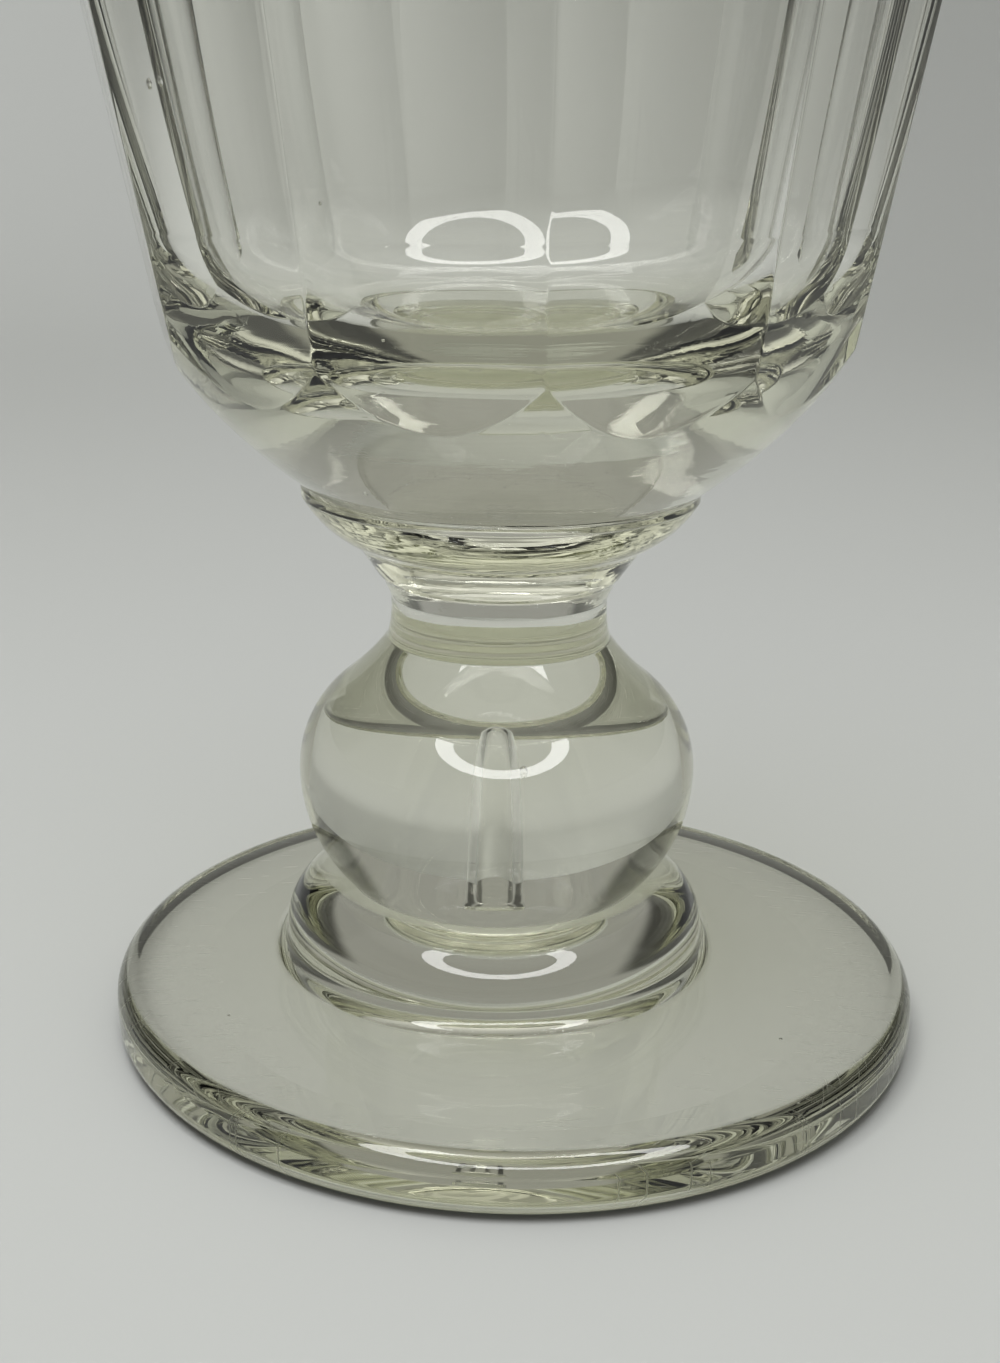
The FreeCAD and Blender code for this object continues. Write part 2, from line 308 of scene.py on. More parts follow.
@dataclass
class Bowl:
    """Deep bowl: round blank, flat arched panels cut round it, thick base inside.

    The blank and its inside share the axis that the glass was blown about. The panels
    were cut about an axis of their own, panel_shift from the stem's.
    """

    base: float = 53.9
    shift: float = 0.9
    front: float = 0.6
    lean: float = 1.1
    foot_radius: float = 18.1
    turn: tuple = (28.2, 9.1)
    belly: tuple = (33.7, 18.6)
    band: tuple = (40.9, 58.5)
    height: float = 76.1
    underside_sweep: float = 50.0
    turn_sweep: float = 34.0
    panel_shift: float = 0.5
    panel_foot: tuple = (25.03, 4.1)
    panel_bend: tuple = (31.0, 15.1)
    panel_end: tuple = (42.03, 75.5)
    panel_sweep: float = 20.1
    rim_round: float = 1.1
    lip_round: float = 1.2
    lip_in: float = 0.17
    mouth_radius: float = 38.3
    corner_top: tuple = (29.3, 24.5)
    floor_edge: tuple = (17.3, 12.9)
    floor: float = 11.6
    corner_sweep: float = 14.3
    wall_sweep: float = 314.0
    floor_sweep: float = 130.0
    edge_softness: float = 0.12
    arch_softness: float = 0.03
    ripple: float = 0.10
    ripple_from: float = 12.0

    def placed(self, points: np.ndarray, shift: float, front: float) -> np.ndarray:
        """Put bowl points on the collar: turned by the lean towards -X, then moved.

        x' = shift + x cos(lean) - z sin(lean); y' = y - front;
        z' = base + x sin(lean) + z cos(lean).

        Args:
            points: Points in the bowl's own frame, with xyz last.
            shift: Place of the bowl's axis along X.
            front: How far the bowl's axis stands towards -Y.

        Returns:
            The points in the part's frame.
        """
        c, s = math.cos(math.radians(self.lean)), math.sin(math.radians(self.lean))
        x, y, z = points[..., 0], points[..., 1], points[..., 2]
        return np.stack([shift + x * c - z * s, y - front, self.base + x * s + z * c], axis=-1)

    def blank_radius(self, height: np.ndarray, angles: np.ndarray) -> np.ndarray:
        """Distance of the round blank from the panels' axis.

        The blank's own radius R is read from its two arcs, its flare and its band. With
        (ex, ey) the step from the panels' axis to the blank's, the distance is
        ex cos a + ey sin a + the root of (R squared - (ex sin a - ey cos a) squared).

        Args:
            height: Heights above the bowl's foot.
            angles: Angles of the columns in radians.

        Returns:
            The distances, in the shape of both together.
        """
        outline = joined(
            arc((self.foot_radius, 0.0), self.turn, self.underside_sweep, Swing.LEFT, READ_STEPS),
            arc(self.turn, self.belly, self.turn_sweep, Swing.LEFT, READ_STEPS),
            straight(self.belly, self.band, 1),
            straight(self.band, (self.band[0], self.height), 1),
        )
        own = np.interp(height, outline[:, 1], outline[:, 0])
        ex, ey = self.shift - self.panel_shift, -self.front
        along = ex * np.cos(angles) + ey * np.sin(angles)
        across = ex * np.sin(angles) - ey * np.cos(angles)
        return along + np.sqrt(own**2 - across**2)

    def panel_radius(self, height: np.ndarray, angles: np.ndarray) -> np.ndarray:
        """Radius of the flat panels: distance from the axis / cos(angle from its middle).

        The edge between two panels is softened by taking the soft least of both.

        Args:
            height: Heights above the bowl's foot.
            angles: Angles of the columns in radians.

        Returns:
            The radii, in the shape of both together.
        """
        outline = joined(
            arc(self.panel_foot, self.panel_bend, self.panel_sweep, Swing.LEFT, READ_STEPS),
            straight(self.panel_bend, self.panel_end, 1),
        )
        distance = np.interp(height, outline[:, 1], outline[:, 0])
        turn = math.radians(PANEL_TURN)
        off_middle = np.abs((angles + turn / 2.0) % turn - turn / 2.0)
        own = distance / np.cos(off_middle)
        next_one = distance / np.cos(turn - off_middle)
        return soft_least(own, next_one, self.edge_softness)

    def arch_heights(self, angles: np.ndarray) -> tuple[np.ndarray, np.ndarray]:
        """Find, for each column, where the panel starts and ends on the round blank.

        Args:
            angles: Angles of the columns in radians.

        Returns:
            Heights of the lower and of the upper arch, one for each column.
        """
        heights = np.linspace(self.panel_foot[1], self.panel_end[1], SEARCH_STEPS)
        tall = heights[:, None]
        inside = self.panel_radius(tall, angles) < self.blank_radius(tall, angles)
        lower = heights[np.argmax(inside, axis=0)]
        upper = heights[len(heights) - 1 - np.argmax(inside[::-1], axis=0)]
        return lower, upper

    def outer_rows(self, angles: np.ndarray) -> np.ndarray:
        """Return the outside up to the rim, with rows that follow both arches.

        The radius is the soft least of the blank's and the panel's.

        Args:
            angles: Angles of the columns in radians.

        Returns:
            Points in rows and columns, as (row, column, xyz).
        """
        lower, upper = self.arch_heights(angles)
        top = np.full_like(lower, self.height - self.rim_round)
        zero = np.zeros_like(lower)
        steps = []
        for start, end, count, crowd_low in (
            (zero, lower, 10, 1.0),
            (lower, upper, 54, 1.35),
            (upper, top, 6, 1.0),
        ):
            shares = np.linspace(0.0, 1.0, count + 1) ** crowd_low
            rise = start + shares[1:-1, None] * (end - start)
            near = np.array([0.1, 0.3])[:, None]
            steps += [start[None], start + near, rise, end - near[::-1]]
        steps.append(top[None])
        height = np.sort(np.concatenate(steps), axis=0)[1:]
        blank, panel = self.blank_radius(height, angles), self.panel_radius(height, angles)
        radius = soft_least(blank, panel, self.arch_softness)
        x, y = radius * np.cos(angles), radius * np.sin(angles)
        return self.placed(np.stack([x, y, height], axis=-1), self.panel_shift, 0.0)

    def inner_rows(self, angles: np.ndarray) -> np.ndarray:
        """Return the rim and the inside, down to the middle of the floor.

        The wall ripples a little, as a hand-shaped one does: its radius changes by
        ripple times sin(3 a + height / 9) + half of sin(5 a - height / 6). It starts at
        nothing under the rim, is full from ripple_from down, and fades on the floor.

        Args:
            angles: Angles of the columns in radians.

        Returns:
            Points in rows and columns, as (row, column, xyz).
        """
        inner = self.mouth_radius + self.rim_round * 0.99
        outer = self.band[0] - self.rim_round
        low = self.height - self.rim_round
        lip = (self.mouth_radius - self.lip_in, low)
        outline = joined(
            arc((self.band[0], low), (outer, self.height), self.rim_round, Swing.LEFT, 6),
            straight((outer, self.height), (inner, self.height), 1),
            arc((inner, self.height), lip, self.lip_round, Swing.LEFT, 6),
            arc(lip, self.corner_top, self.wall_sweep, Swing.RIGHT, 28),
            arc(self.corner_top, self.floor_edge, self.corner_sweep, Swing.RIGHT, 22),
            arc(self.floor_edge, (CAP_MM, self.floor), self.floor_sweep, Swing.RIGHT, 10),
        )
        points = turned(outline[1:], angles)
        height = points[..., 2]
        wave = np.sin(3.0 * angles + height / 9.0) + 0.5 * np.sin(5.0 * angles - height / 6.0)
        depth = np.clip((low - height) / self.ripple_from, 0.0, 1.0)
        away = np.hypot(points[..., 0], points[..., 1])
        share = np.clip(away / self.floor_edge[0], 0.0, 1.0) ** 2
        scale = 1.0 + self.ripple * wave * depth * share / np.maximum(away, 1.0)
        points[..., :2] *= scale[..., None]
        return self.placed(points, self.shift, self.front)


@dataclass
class Bubble:
    """Pocket of air inside the glass: an egg turned about an upright axis."""

    centre: tuple
    radius: float
    length: float
    columns: int = 16
    rows: int = 10

    def outline(self) -> np.ndarray:
        """Return the egg's outline: r = radius sin t, height = -length cos t / 2."""
        turn = np.linspace(0.02, math.pi - 0.02, self.rows)
        return np.column_stack([self.radius * np.sin(turn), -self.length * np.cos(turn) / 2.0])

    def grid(self) -> np.ndarray:
        """Return the pocket's rows, from its lowest point to its highest."""
        angles = np.linspace(0.0, 2.0 * math.pi, self.columns, endpoint=False)
        return turned(self.outline(), angles) + np.array(self.centre)


@dataclass
class AirTear(Bubble):
    """Tear of air in the knop: flat, lipped foot, swelling sides and a round tip."""

    centre: tuple = (0.0, 0.0, 17.3)
    radius: float = 1.72
    length: float = 8.6
    lip_radius: float = 1.9
    lip_height: float = 0.35
    narrowing: float = 0.25
    columns: int = 32

    def outline(self) -> np.ndarray:
        """Return the tear's outline.

        Over the lip, r = radius (1 - narrowing * share cubed) as the share of the length
        grows, closed above by a round tip: r times the root of (1 - share ** 9).

        Returns:
            Points (radius, height), one a row.
        """
        tip = 1.0 - 0.1 * np.cos(np.linspace(0.2, 1.55, 8))
        shares = np.concatenate([np.linspace(0.05, 0.9, 22), tip])
        round_tip = np.sqrt(1.0 - np.minimum(shares, 1.0) ** 9)
        sides = self.radius * (1.0 - self.narrowing * shares**3) * round_tip
        sides = np.column_stack([np.maximum(sides, CAP_MM), shares * self.length])
        foot = np.array([
            [CAP_MM, 0.0],
            [self.lip_radius * 0.7, 0.0],
            [self.lip_radius * 0.95, 0.06],
            [self.lip_radius, 0.2],
            [self.lip_radius * 0.94, self.lip_height],
        ])
        return np.vstack([foot, sides])


def linear(hex_colour: str) -> tuple[float, float, float, float]:
    """Turn an sRGB hex colour into the linear colour that a socket takes.

    Args:
        hex_colour: Six hex digits, such as "c8c8c4".

    Returns:
        Linear red, green and blue, with an alpha of 1.
    """
    parts = [int(hex_colour[i:i + 2], 16) / 255.0 for i in (0, 2, 4)]
    lin = [p / 12.92 if p <= 0.04045 else ((p + 0.055) / 1.055) ** 2.4 for p in parts]
    return (lin[0], lin[1], lin[2], 1.0)


def add_node(tree: bpy.types.NodeTree, kind: str, settings: dict | None = None,
             inputs: dict | None = None) -> bpy.types.Node:
    """Add a node, set it up and link what feeds it.

    Args:
        tree: The node tree that the node goes into.
        kind: The node's type name.
        settings: Properties of the node by name.
        inputs: Sockets by name or place: a plain value, or an output socket to link.

    Returns:
        The new node.
    """
    node = tree.nodes.new(kind)
    for name, value in (settings or {}).items():
        setattr(node, name, value)
    for name, value in (inputs or {}).items():
        if isinstance(value, bpy.types.NodeSocket):
            tree.links.new(value, node.inputs[name])
        else:
            node.inputs[name].default_value = value
    return node


def new_material(name: str) -> bpy.types.Material:
    """Make an empty node material.

    Args:
        name: The material's name.

    Returns:
        The material, with no node in it.
    """
    material = bpy.data.materials.new(name)
    material.use_nodes = True
    material.node_tree.nodes.clear()
    return material


@dataclass(frozen=True)
class BlownGlass:
    """Clear lead glass, blown, panel-cut and polished, with a faint warm grey tint.

    The eye gets sharp reflections and strong bending of what lies behind, slow waves
    from the hand shaping, fine rings where the tools turned the neck and the collar,
    and scratches round the foot, where the glass has been set down for years.
    """

    tint: str = "fdfdfa"
    body_tint: str = "dfe0b9"
    body_density: float = 9.0
    ior: float = 1.53
    shadow: str = "f6f6f4"
    edge_shadow: str = "60605c"
    edge_from_mm: float = 38.2
    wave_mm: float = 13.0
    wave_depth_mm: float = 0.06
    tool_line_mm: float = 0.55
    tool_depth_mm: float = 0.012
    tool_low_mm: float = 38.0
    tool_high_mm: float = 63.0
    scratch_mm: tuple = (3.2, 0.13)
    scratch_turns: tuple = (24.0, 112.0)
    scratch_share: float = 0.035
    scratch_roughness: float = 0.3
    worn_from_mm: float = 29.0
    worn_full_mm: float = 38.0
    foot_top_mm: float = 8.0
    foot_shift_mm: float = 2.1

    def waves(self, tree: bpy.types.NodeTree,
              place: bpy.types.NodeSocket) -> bpy.types.NodeSocket:
        """Add the slow waves in the surface.

        Args:
            tree: The material's node tree.
            place: The point in the part's frame.

        Returns:
            Their height, from 0 to 1.
        """
        return add_node(tree, "ShaderNodeTexNoise", inputs={
            "Vector": place, "Scale": 1000.0 / self.wave_mm, "Detail": 0.0}).outputs["Fac"]

    def tool_rings(self, tree: bpy.types.NodeTree,
                   place: bpy.types.NodeSocket) -> bpy.types.NodeSocket:
        """Add the fine rings on the neck, the collar and the bowl's foot.

        The pattern is noise squeezed along the axis to the spacing of the lines, and
        faded out below tool_low and above tool_high.

        Args:
            tree: The material's node tree.
            place: The point in the part's frame.

        Returns:
            Their height, from 0 to 1.
        """
        squeeze = add_node(tree, "ShaderNodeVectorMath", {"operation": "MULTIPLY"}, {
            0: place, 1: (40.0, 40.0, 1000.0 / self.tool_line_mm)})
        lines = add_node(tree, "ShaderNodeTexNoise", inputs={
            "Vector": squeeze.outputs[0], "Scale": 1.0, "Detail": 1.0})
        height = add_node(tree, "ShaderNodeSeparateXYZ", inputs={0: place}).outputs["Z"]
        middle = 0.5 * (self.tool_low_mm + self.tool_high_mm) * MM
        away = add_node(tree, "ShaderNodeMath", {"operation": "SUBTRACT"}, {0: height, 1: middle})
        far = add_node(tree, "ShaderNodeMath", {"operation": "ABSOLUTE"}, {0: away.outputs[0]})
        half = 0.5 * (self.tool_high_mm - self.tool_low_mm) * MM
        fade = add_node(tree, "ShaderNodeMapRange", {"interpolation_type": "SMOOTHSTEP"}, {
            "Value": far.outputs[0], "From Min": half, "From Max": half * 0.7})
        return add_node(tree, "ShaderNodeMath", {"operation": "MULTIPLY"}, {
            0: lines.outputs["Fac"], 1: fade.outputs[0]}).outputs[0]

    def at_foot(self, tree: bpy.types.NodeTree, place: bpy.types.NodeSocket) -> tuple:
        """Find where a point is on the foot.

        Args:
            tree: The material's node tree.
            place: The point in the part's frame.

        Returns:
            The point as seen from the foot's axis, its distance from that axis, and 1
            where it is on the foot and 0 above it.
        """
        centred = add_node(tree, "ShaderNodeVectorMath", {"operation": "SUBTRACT"}, {
            0: place, 1: (self.foot_shift_mm * MM, 0.0, 0.0)}).outputs[0]
        flat = add_node(tree, "ShaderNodeVectorMath", {"operation": "MULTIPLY"}, {
            0: centred, 1: (1.0, 1.0, 0.0)})
        away = add_node(tree, "ShaderNodeVectorMath", {"operation": "LENGTH"}, {0: flat.outputs[0]})
        height = add_node(tree, "ShaderNodeSeparateXYZ", inputs={0: place}).outputs["Z"]
        low = add_node(tree, "ShaderNodeMath", {"operation": "LESS_THAN"}, {
            0: height, 1: self.foot_top_mm * MM})
        return centred, away.outputs["Value"], low.outputs[0]

    def scratches(self, tree: bpy.types.NodeTree, centred: bpy.types.NodeSocket,
                  away: bpy.types.NodeSocket, low: bpy.types.NodeSocket) -> bpy.types.NodeSocket:
        """Add the scratches round the foot's edge.

        Each set is cells stretched to the length of a scratch and a little wider than
        one. A cell holds a scratch along its middle if its random value is under the
        share that is scratched, and that share grows from worn_from to worn_full.

        Args:
            tree: The material's node tree.
            centred: The point as seen from the foot's axis.
            away: Its distance from that axis.
            low: 1 where the point is on the foot and 0 above it.

        Returns:
            1 in a scratch and 0 beside it.
        """
        worn = add_node(tree, "ShaderNodeMapRange", inputs={
            "Value": away, "From Min": self.worn_from_mm * MM,
            "From Max": self.worn_full_mm * MM, "To Max": self.scratch_share})
        share = add_node(tree, "ShaderNodeMath", {"operation": "MULTIPLY"}, {
            0: worn.outputs[0], 1: low}).outputs[0]
        found = None
        length, width = self.scratch_mm
        for turn in self.scratch_turns:
            stretched = add_node(tree, "ShaderNodeMapping", inputs={
                "Vector": centred, "Rotation": (0.0, 0.0, math.radians(turn)),
                "Scale": (1000.0 / length, 1000.0 / width, 1.0)})
            cells = add_node(tree, "ShaderNodeTexVoronoi", {"voronoi_dimensions": "2D"}, {
                "Vector": stretched.outputs[0], "Scale": 1.0})
            value = add_node(tree, "ShaderNodeSeparateColor", inputs={0: cells.outputs["Color"]})
            chosen = add_node(tree, "ShaderNodeMath", {"operation": "LESS_THAN"}, {
                0: value.outputs[0], 1: share})
            line = add_node(tree, "ShaderNodeMapRange", inputs={
                "Value": cells.outputs["Distance"], "From Min": 0.45, "From Max": 0.25})
            one = add_node(tree, "ShaderNodeMath", {"operation": "MULTIPLY"}, {
                0: chosen.outputs[0], 1: line.outputs[0]}).outputs[0]
            found = one if found is None else add_node(
                tree, "ShaderNodeMath", {"operation": "MAXIMUM"}, {0: found, 1: one}).outputs[0]
        return found

    def material(self) -> bpy.types.Material:
        """Build the glass: refraction, body colour, hand marks, wear and a light shadow.

        Returns:
            The material.
        """
        material = new_material("blown_lead_glass_polished")
        tree = material.node_tree
        place = add_node(tree, "ShaderNodeTexCoord").outputs["Object"]
        centred, away, low = self.at_foot(tree, place)
        scratches = self.scratches(tree, centred, away, low)
        rings = add_node(tree, "ShaderNodeMath", {"operation": "MULTIPLY"}, {
            0: self.tool_rings(tree, place), 1: self.tool_depth_mm / self.wave_depth_mm})
        marks = add_node(tree, "ShaderNodeMath", {"operation": "ADD"}, {
            0: self.waves(tree, place), 1: rings.outputs[0]})
        normal = add_node(tree, "ShaderNodeBump", inputs={
            "Height": marks.outputs[0], "Distance": self.wave_depth_mm * MM}).outputs[0]
        roughness = add_node(tree, "ShaderNodeMath", {"operation": "MULTIPLY"}, {
            0: scratches, 1: self.scratch_roughness}).outputs[0]
        glass = add_node(tree, "ShaderNodeBsdfPrincipled", inputs={
            "Base Color": linear(self.tint),
            "IOR": self.ior,
            "Roughness": roughness,
            "Transmission Weight": 1.0,
            "Normal": normal,
        })
        path = add_node(tree, "ShaderNodeLightPath")
        light = add_node(tree, "ShaderNodeMath", {"operation": "MAXIMUM"}, {
            0: path.outputs["Is Shadow Ray"], 1: path.outputs["Is Diffuse Ray"]})
        edge = add_node(tree, "ShaderNodeMath", {"operation": "GREATER_THAN"}, {
            0: away, 1: self.edge_from_mm * MM})
        at_edge = add_node(tree, "ShaderNodeMath", {"operation": "MULTIPLY"}, {
            0: edge.outputs[0], 1: low})
        through = add_node(tree, "ShaderNodeMix", {"data_type": "RGBA"}, {
            "Factor": at_edge.outputs[0], "A": linear(self.shadow), "B": linear(self.edge_shadow)})
        clear = add_node(tree, "ShaderNodeBsdfTransparent", inputs={
            "Color": through.outputs["Result"]})
        mixed = add_node(tree, "ShaderNodeMixShader", inputs={
            0: light.outputs[0], 1: glass.outputs[0], 2: clear.outputs[0]})
        body = add_node(tree, "ShaderNodeVolumeAbsorption", inputs={
            "Color": linear(self.body_tint), "Density": self.body_density})
        add_node(tree, "ShaderNodeOutputMaterial", inputs={
            "Surface": mixed.outputs[0], "Volume": body.outputs[0]})
        return material


@dataclass(frozen=True)
class PaleTable:
    """Plain pale grey table and backdrop, matt."""

    colour: str = "c3c5c3"
    roughness: float = 0.9

    def material(self) -> bpy.types.Material:
        """Build the matt surface.

        Returns:
            The material.
        """
        material = new_material("pale_matt_table")
        tree = material.node_tree
        paint = add_node(tree, "ShaderNodeBsdfPrincipled", inputs={
            "Base Color": linear(self.colour), "Roughness": self.roughness,
            "Specular IOR Level": 0.2})
        add_node(tree, "ShaderNodeOutputMaterial", inputs={"Surface": paint.outputs[0]})
        return material


@dataclass
class MeshParts:
    """Points and faces of one closed mesh, gathered grid by grid."""

    points: list = field(default_factory=list)
    quads: list = field(default_factory=list)
    triangles: list = field(default_factory=list)
    count: int = 0

    def add_grid(self, rows: np.ndarray, inwards: bool = False) -> None:
        """Add a grid that is closed round its columns and capped by a point at each end.

        Args:
            rows: Points as (row, column, xyz), from the first cap to the last.
            inwards: Whether the faces look towards the axis, as a pocket's do.
        """
        row_count, column_count, _ = rows.shape
        index = np.arange(row_count * column_count).reshape(row_count, column_count)
        after = np.roll(index, -1, axis=1)
        quads = np.stack([index[:-1], after[:-1], after[1:], index[1:]], axis=-1).reshape(-1, 4)
        first, last = row_count * column_count, row_count * column_count + 1
        caps = np.vstack([
            np.column_stack([after[0], index[0], np.full(column_count, first)]),
            np.column_stack([index[-1], after[-1], np.full(column_count, last)]),
        ])
        if inwards:
            quads, caps = quads[:, ::-1], caps[:, ::-1]
        ends = np.stack([rows[0].mean(axis=0), rows[-1].mean(axis=0)])
        self.points += [rows.reshape(-1, 3), ends]
        self.quads.append(quads + self.count)
        self.triangles.append(caps + self.count)
        self.count += row_count * column_count + 2

    def object(self, name: str) -> bpy.types.Object:
        """Make the Blender object, smooth all over and in metres.

        Args:
            name: Name of the object and its mesh.

        Returns:
            The object, linked into the scene.
        """
        points = np.vstack(self.points) * MM
        quads, triangles = np.vstack(self.quads), np.vstack(self.triangles)
        corners = np.concatenate([quads.ravel(), triangles.ravel()]).astype(np.int32)
        sizes = np.concatenate([np.full(len(quads), 4), np.full(len(triangles), 3)])
        starts = np.concatenate([[0], np.cumsum(sizes)[:-1]]).astype(np.int32)
        mesh = bpy.data.meshes.new(name)
        mesh.vertices.add(len(points))
        mesh.vertices.foreach_set("co", points.astype(np.float32).ravel())
        mesh.loops.add(len(corners))
        mesh.loops.foreach_set("vertex_index", corners)
        mesh.polygons.add(len(sizes))
        mesh.polygons.foreach_set("loop_start", starts)
        mesh.polygons.foreach_set("use_smooth", np.ones(len(sizes), dtype=bool))
        mesh.update(calc_edges=True)
        mesh.validate()
        made = bpy.data.objects.new(name, mesh)
        bpy.context.scene.collection.objects.link(made)
        return made


@dataclass
class Rummer:
    """The whole glass: foot, stem and bowl as one skin, with pockets of air inside."""

    foot: Foot = field(default_factory=Foot)
    stem: Stem = field(default_factory=Stem)
    bowl: Bowl = field(default_factory=Bowl)
    tear: AirTear = field(default_factory=AirTear)
    seeds: tuple = (
        ((-26.1, -20.6, 89.4), 0.32, 0.9),
        ((2.3, -6.0, 26.2), 0.36, 0.7),
        ((19.4, -27.6, 97.0), 0.16, 0.4),
        ((-12.2, -30.6, 81.0), 0.13, 0.3),
        ((-9.0, -5.5, 61.2), 0.2, 0.4),
        ((27.5, -18.0, 5.4), 0.18, 0.3),
        ((-24.0, -17.0, 4.6), 0.15, 0.25),
    )
    band_seeds: int = 46
    band_heights: tuple = (3.4, 6.2)
    band_turns: tuple = (-118.0, -44.0)
    band_radii: tuple = (0.05, 0.11)
    band_depth: float = 0.4

    def band(self) -> list[Bubble]:
        """Scatter the fine seeds that lie in a band just under the bowl's skin.

        Each lies a little inside the lesser of the blank and the panels, at an even
        scatter over the band's height and its turn about the side that faces -Y.

        Returns:
            The bubbles, each in its place in the part's frame.
        """
        scatter = np.random.default_rng(7)
        heights = scatter.uniform(*self.band_heights, self.band_seeds)
        angles = np.radians(scatter.uniform(*self.band_turns, self.band_seeds))
        sizes = scatter.uniform(*self.band_radii, self.band_seeds)
        skin = np.minimum(
            self.bowl.blank_radius(heights, angles), self.bowl.panel_radius(heights, angles))
        flat = np.column_stack([np.cos(angles), np.sin(angles)]) * (skin - self.band_depth)[:, None]
        places = self.bowl.placed(np.column_stack([flat, heights]), self.bowl.panel_shift, 0.0)
        return [
            Bubble(tuple(place), float(size), 2.2 * float(size), columns=8, rows=6)
            for place, size in zip(places, sizes)
        ]

    def build(self) -> bpy.types.Object:
        """Build the glass in place of its CAD solid and dress it.

        Returns:
            The finished piece.
        """
        angles = column_angles()
        skin = np.concatenate([
            self.foot.disc_rows(angles),
            self.foot.ring_rows(angles),
            self.stem.rows(angles),
            self.bowl.outer_rows(angles),
            self.bowl.inner_rows(angles),
        ])
        parts = MeshParts()
        parts.add_grid(skin)
        pockets = [self.tear, *(Bubble(*seed) for seed in self.seeds), *self.band()]
        for pocket in pockets:
            parts.add_grid(pocket.grid(), inwards=True)
        glass = parts.object("rummer_glass")
        glass.data.materials.append(BlownGlass().material())
        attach(glass, "root")
        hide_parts("rummer")
        faces = len(glass.data.polygons)
        LOG.info("glass: %d rows, %d columns, %d faces", len(skin), len(angles), faces)
        return glass


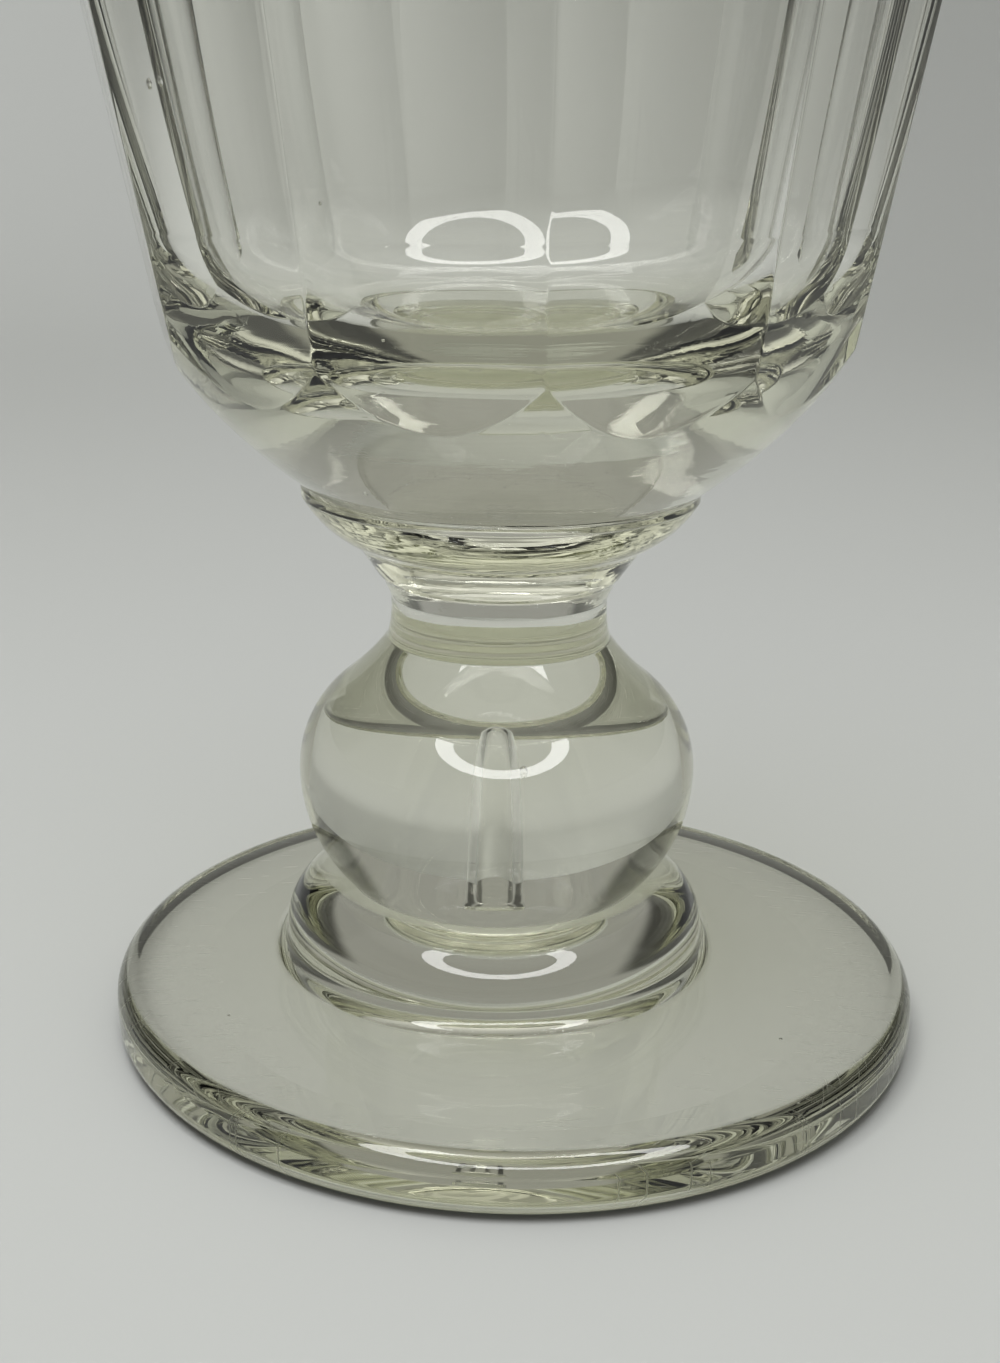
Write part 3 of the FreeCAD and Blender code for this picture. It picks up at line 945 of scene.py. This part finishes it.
@dataclass
class Studio:
    """Pale table that curves up into a backdrop, soft lamps and the camera."""

    lens_px: float = 1801.0
    pitch: float = 17.90
    roll: float = 0.94
    azimuth: float = 2.6
    distance: float = 167.8
    height: float = 88.4
    aside: float = 0.2
    bend: float = 620.0
    bend_radius: float = 420.0
    rim_turn: float = 62.0
    flat_rings: tuple = (150.0, 400.0)
    columns: int = 96
    below: float = 0.05
    wall: str = "92928e"
    ceiling: str = "e6e6e2"
    ceiling_rises: tuple = (0.7, 0.97)
    card: str = "3c3c3a"
    card_azimuths: tuple = (-58.0, 58.0)
    card_elevation: float = 26.0
    card_radius: float = 23.0
    card_softness: float = 4.0
    ring_azimuth: float = 9.0
    ring_elevation: float = 66.0
    ring_radius: float = 26.5
    ring_width: float = 8.5
    ring_power: float = 9.0
    ring_through: float = 0.03

    def table(self) -> bpy.types.Object:
        """Build the round table: flat, then curving up into a low rim all round.

        Beyond the bend, with t from 0 to the rim's turn: r = bend + R sin t and
        z = R (1 - cos t).

        Returns:
            The table.
        """
        turn = np.linspace(0.0, math.radians(self.rim_turn), 25)
        flat = np.array([[radius, 0.0] for radius in self.flat_rings])
        rim = np.column_stack([
            self.bend + self.bend_radius * np.sin(turn),
            self.bend_radius * (1.0 - np.cos(turn)),
        ])
        outline = np.vstack([flat, rim])
        angles = np.linspace(0.0, 2.0 * math.pi, self.columns, endpoint=False)
        rows = turned(outline, angles)
        rows[..., 2] -= self.below
        index = np.arange(rows.shape[0] * len(angles)).reshape(rows.shape[0], -1)
        after = np.roll(index, -1, axis=1)
        quads = np.stack([index[:-1], index[1:], after[1:], after[:-1]], axis=-1).reshape(-1, 4)
        mesh = bpy.data.meshes.new("pale_table")
        middle = index[0].tolist()
        mesh.from_pydata((rows.reshape(-1, 3) * MM).tolist(), [], quads.tolist() + [middle])
        mesh.polygons.foreach_set("use_smooth", np.ones(len(mesh.polygons), dtype=bool))
        table = bpy.data.objects.new("pale_table", mesh)
        bpy.context.scene.collection.objects.link(table)
        mesh.materials.append(PaleTable().material())
        return table

    def camera(self) -> bpy.types.Object:
        """Place the camera at the photograph's distance, height, pitch and roll.

        Returns:
            The scene's camera.
        """
        data = bpy.data.cameras.new("camera")
        data.sensor_width = SENSOR_MM
        data.lens = self.lens_px * SENSOR_MM / PHOTO_HEIGHT
        data.clip_start = 0.01
        camera = bpy.data.objects.new("camera", data)
        turn = math.radians(self.azimuth)
        spin = Matrix.Rotation(turn, 4, "Z")
        place = spin @ Vector((self.aside, -self.distance, self.height)) * MM
        camera.matrix_world = (
            Matrix.Translation(place)
            @ spin
            @ Matrix.Rotation(math.radians(90.0 - self.pitch), 4, "X")
            @ Matrix.Rotation(math.radians(self.roll), 4, "Z")
        )
        bpy.context.scene.collection.objects.link(camera)
        bpy.context.scene.camera = camera
        return camera

    def lamp(self, name: str, place: tuple, size: tuple, watts: float,
             target: tuple) -> bpy.types.Object:
        """Place one soft rectangular lamp, which neither mirrors nor shows in the glass.

        Args:
            name: The lamp's name.
            place: Where it hangs, in millimetres.
            size: Its width and height in millimetres.
            watts: Its power.
            target: The point that it faces.

        Returns:
            The lamp.
        """
        data = bpy.data.lights.new(name, "AREA")
        data.shape = "RECTANGLE"
        data.size, data.size_y = size[0] * MM, size[1] * MM
        data.energy = watts
        lamp = bpy.data.objects.new(name, data)
        look = Vector(target) - Vector(place)
        aim = look.to_track_quat("-Z", "Y").to_matrix().to_4x4()
        lamp.matrix_world = Matrix.Translation(Vector(place) * MM) @ aim
        lamp.visible_glossy = False
        lamp.visible_transmission = False
        bpy.context.scene.collection.objects.link(lamp)
        return lamp

    def angle_from(self, tree: bpy.types.NodeTree, ray: bpy.types.NodeSocket,
                   azimuth: float, elevation: float) -> bpy.types.NodeSocket:
        """Return the angle between a ray and a fixed direction, in radians.

        Args:
            tree: The room's node tree.
            ray: The ray's direction.
            azimuth: Turn of the fixed direction from -Y towards +X, in degrees.
            elevation: Rise of the fixed direction above the table, in degrees.

        Returns:
            The angle, as the arc cosine of the dot product of both directions.
        """
        turn, lift = math.radians(azimuth), math.radians(elevation)
        flat = math.cos(lift)
        middle = (math.sin(turn) * flat, -math.cos(turn) * flat, math.sin(lift))
        along = add_node(tree, "ShaderNodeVectorMath", {"operation": "DOT_PRODUCT"}, {
            0: ray, 1: middle})
        return add_node(tree, "ShaderNodeMath", {"operation": "ARCCOSINE"}, {
            0: along.outputs["Value"]}).outputs[0]

    def world(self) -> None:
        """Fill the room with a plain grey, two dark cards behind the glass and a ring lamp.

        The room goes from the wall's grey to the ceiling's as a ray's rise grows. A
        card is where the angle between a ray and the card's middle is under the card's
        radius, with a soft edge, and only the glass shows it. The ring is where the
        angle between a ray and the ring's middle is within half the ring's width of
        the ring's radius. Reflections show it whole, and what is seen through the
        glass shows ring_through of it. Is Glossy Ray is 1 for both, so a reflection is
        told by taking Is Transmission Ray away.
        """
        world = bpy.data.worlds.new("room")
        world.use_nodes = True
        tree = world.node_tree
        tree.nodes.clear()
        ray = add_node(tree, "ShaderNodeTexCoord").outputs["Generated"]
        height = add_node(tree, "ShaderNodeSeparateXYZ", inputs={0: ray}).outputs["Z"]
        share = add_node(tree, "ShaderNodeMapRange", {"interpolation_type": "SMOOTHSTEP"}, {
            "Value": height, "From Min": self.ceiling_rises[0],
            "From Max": self.ceiling_rises[1]})
        colour = add_node(tree, "ShaderNodeMix", {"data_type": "RGBA"}, {
            "Factor": share.outputs[0], "A": linear(self.wall),
            "B": linear(self.ceiling)}).outputs["Result"]
        path = add_node(tree, "ShaderNodeLightPath")
        for azimuth in self.card_azimuths:
            away = self.angle_from(tree, ray, 180.0 + azimuth, self.card_elevation)
            near = add_node(tree, "ShaderNodeMapRange", {"interpolation_type": "SMOOTHSTEP"}, {
                "Value": away,
                "From Min": math.radians(self.card_radius + self.card_softness),
                "From Max": math.radians(self.card_radius - self.card_softness),
                "To Max": path.outputs["Is Glossy Ray"]})
            colour = add_node(tree, "ShaderNodeMix", {"data_type": "RGBA"}, {
                "Factor": near.outputs[0], "A": colour,
                "B": linear(self.card)}).outputs["Result"]
        around = self.angle_from(tree, ray, self.ring_azimuth, self.ring_elevation)
        ring = add_node(tree, "ShaderNodeMath", {"operation": "COMPARE"}, {
            0: around, 1: math.radians(self.ring_radius),
            2: math.radians(self.ring_width / 2.0)})
        part = add_node(tree, "ShaderNodeMath", {"operation": "MULTIPLY_ADD"}, {
            0: path.outputs["Is Transmission Ray"], 1: self.ring_through - 1.0,
            2: path.outputs["Is Glossy Ray"]})
        shown = add_node(tree, "ShaderNodeMath", {"operation": "MULTIPLY"}, {
            0: ring.outputs[0], 1: part.outputs[0]})
        colour = add_node(tree, "ShaderNodeMix", {"data_type": "RGBA"}, {
            "Factor": shown.outputs[0], "A": colour,
            "B": (self.ring_power,) * 3 + (1.0,)}).outputs["Result"]
        back = add_node(tree, "ShaderNodeBackground", inputs={"Color": colour})
        add_node(tree, "ShaderNodeOutputWorld", inputs={"Surface": back.outputs[0]})
        bpy.context.scene.world = world

    def build(self) -> None:
        """Build the whole studio and set how the picture is made."""
        scene = bpy.context.scene
        self.table()
        self.camera()
        self.lamp("soft_overhead", (-80, -180, 620), (420, 320), 2.85, (0, 0, 0))
        back = self.lamp("soft_back", (-300, 640, 420), (200, 120), 0.42, (-290, 890, 140))
        back.visible_camera = False
        self.world()
        scene.view_settings.view_transform = "Standard"
        scene.cycles.transmission_bounces = 18
        scene.cycles.glossy_bounces = 10
        scene.cycles.max_bounces = 20
        scene.cycles.transparent_max_bounces = 20


def main() -> None:
    """Build the glass and the studio, and note the glass's rows, columns and faces."""
    Rummer().build()
    Studio().build()


if __name__ == "__main__":
    logging.basicConfig(level=logging.INFO, format="%(name)s: %(message)s")
    main()
